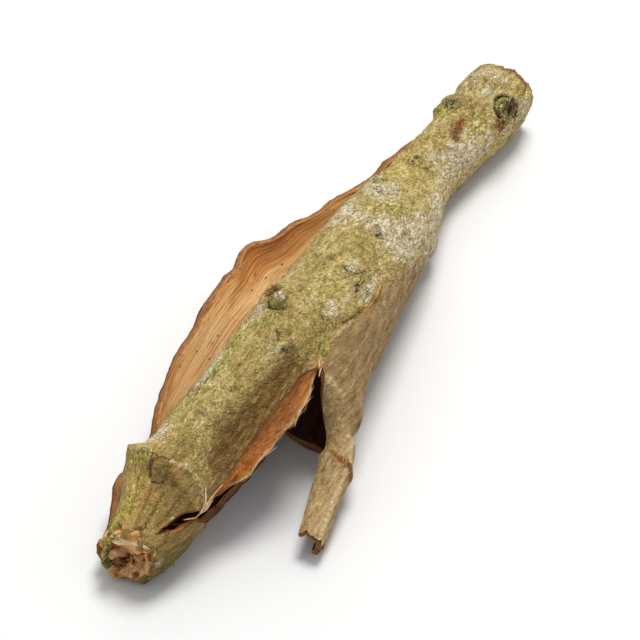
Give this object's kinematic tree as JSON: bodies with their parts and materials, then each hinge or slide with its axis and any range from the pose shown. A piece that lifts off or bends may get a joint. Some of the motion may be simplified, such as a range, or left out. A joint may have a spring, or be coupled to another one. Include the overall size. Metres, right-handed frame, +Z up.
{
  "type": "willow bark quill",
  "caption": "Dried willow bark, rolled into a hollow quill: mossy outside, open tan flange, torn side strip and a tapering torn end.",
  "frame": {"origin": "middle of the object's box, at the height of the surface it rests on", "axes": "+X along the quill from its torn tapering end to its tube end, +Y to the side of the open flange, +Z up"},
  "size_m": [0.124, 0.038, 0.0225],
  "materials": {
    "bark": "rough, dry, mossy outside with a fibrous tan inside"
  },
  "bodies": {
    "root": {"bark": "bark"}
  },
  "joints": []
}
